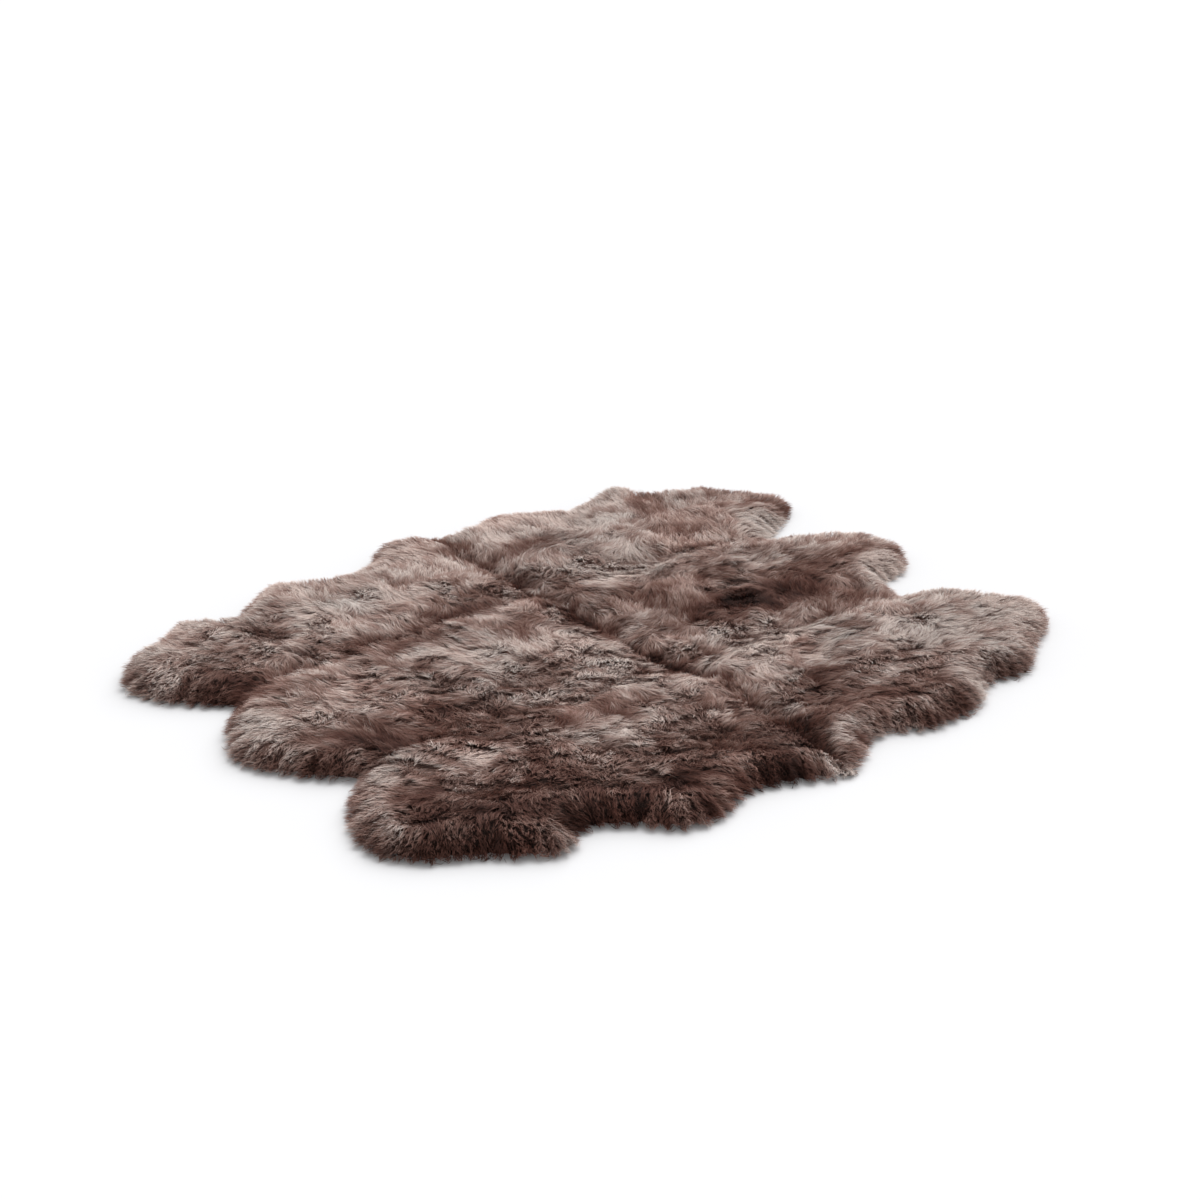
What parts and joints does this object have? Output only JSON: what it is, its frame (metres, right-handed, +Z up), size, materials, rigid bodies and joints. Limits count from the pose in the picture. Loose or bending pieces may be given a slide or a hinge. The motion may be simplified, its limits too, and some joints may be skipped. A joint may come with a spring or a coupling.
{
  "type": "sheepskin rug",
  "caption": "Long-wool sheepskin rug of pelts sewn edge to edge, with a scalloped outline, flat underside and lumpy fleece that rolls down to locks at the rim.",
  "frame": {"origin": "middle of the bounding box, on the plane of the flat underside", "axes": "+X along the pelts and the rug's longer side, +Y across the pelts, +Z up out of the fleece"},
  "size_m": [1.8786, 1.6072, 0.0648],
  "materials": {
    "wool": "long dyed wool pile, mauve taupe, paler at the tips",
    "hide": "suede flesh side of the tanned skin"
  },
  "bodies": {
    "root": {"pelt_far_left": "wool", "pelt_mid_left": "wool", "pelt_near_left": "wool", "pelt_near_right": "wool", "pelt_mid_right": "wool", "pelt_far_right": "wool"}
  },
  "joints": []
}
